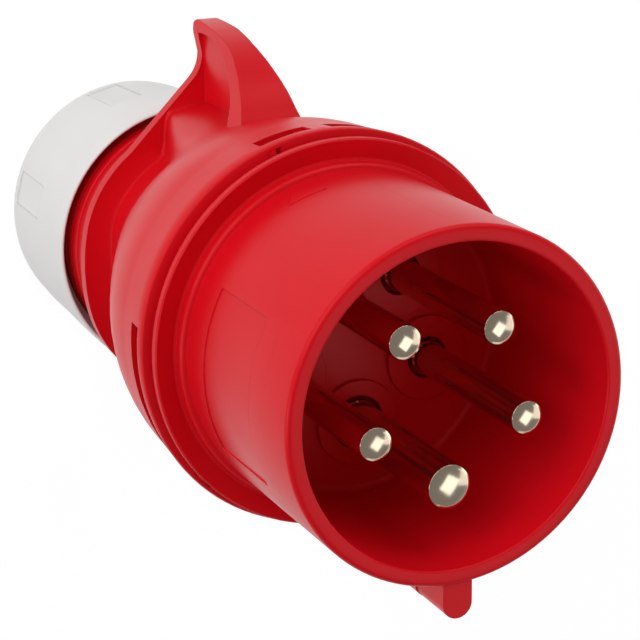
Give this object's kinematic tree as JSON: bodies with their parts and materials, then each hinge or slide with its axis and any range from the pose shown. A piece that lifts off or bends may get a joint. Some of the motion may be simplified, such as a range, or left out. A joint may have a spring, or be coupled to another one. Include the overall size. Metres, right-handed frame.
{
  "type": "industrial pin and sleeve plug",
  "caption": "Round red pin and sleeve plug with a shrouded earth and phase pins, a key rib, a bayonet collar, a finger fin and a pale cable gland nut.",
  "frame": {"origin": "centre of the gland nut's flat rear face, where the cable comes out", "axes": "+Z along the plug's axis towards the mouth of the shroud, +Y towards the finger fin, key rib and earth pin on -Y"},
  "size_m": [0.0758, 0.0875, 0.162],
  "materials": {
    "red_front": "fine semi-gloss moulded polyamide",
    "red_housing": "fine semi-gloss moulded polyamide",
    "nickel_pins": "bright nickel plated brass",
    "zinc_screws": "zinc plated steel",
    "dark_plastic": "plain moulded polyamide",
    "black_rubber": "soft moulded rubber",
    "pale_ring": "plain moulded acetal",
    "pale_nut": "satin moulded pale grey polyamide"
  },
  "bodies": {
    "nut": {"gland_nut": "pale_nut"},
    "ring": {"thrust_ring": "pale_ring"},
    "housing": {"rear_housing": "red_housing", "gland_seal": "black_rubber", "gland_cage": "dark_plastic"},
    "front": {"front_sleeve": "red_front", "pin_l1": "nickel_pins", "pin_l2": "nickel_pins", "pin_l3": "nickel_pins", "pin_neutral": "nickel_pins", "pin_earth": "nickel_pins", "screws_l1": "zinc_screws", "screws_l2": "zinc_screws", "screws_l3": "zinc_screws", "screws_neutral": "zinc_screws", "screws_earth": "zinc_screws", "pin_retainer": "dark_plastic"}
  },
  "joints": [
    {"name": "nut_turn", "type": "hinge", "parent": "nut", "child": "ring", "pos_m": [0, 0, 0.0053], "axis": [0, 0, 1], "range_deg": [-540, 1080]},
    {"name": "nut_rise", "type": "slide", "parent": "ring", "child": "housing", "axis": [0, 0, 1], "range_m": [-0.0045, 0.009]},
    {"name": "bayonet_turn", "type": "hinge", "parent": "housing", "child": "front", "pos_m": [0, 0, 0.108], "axis": [0, 0, 1], "range_deg": [0, 12]}
  ],
  "couplings": [
    {"joint": "nut_rise", "follows": "nut_turn", "m_per_rad": 0.00047746}
  ]
}
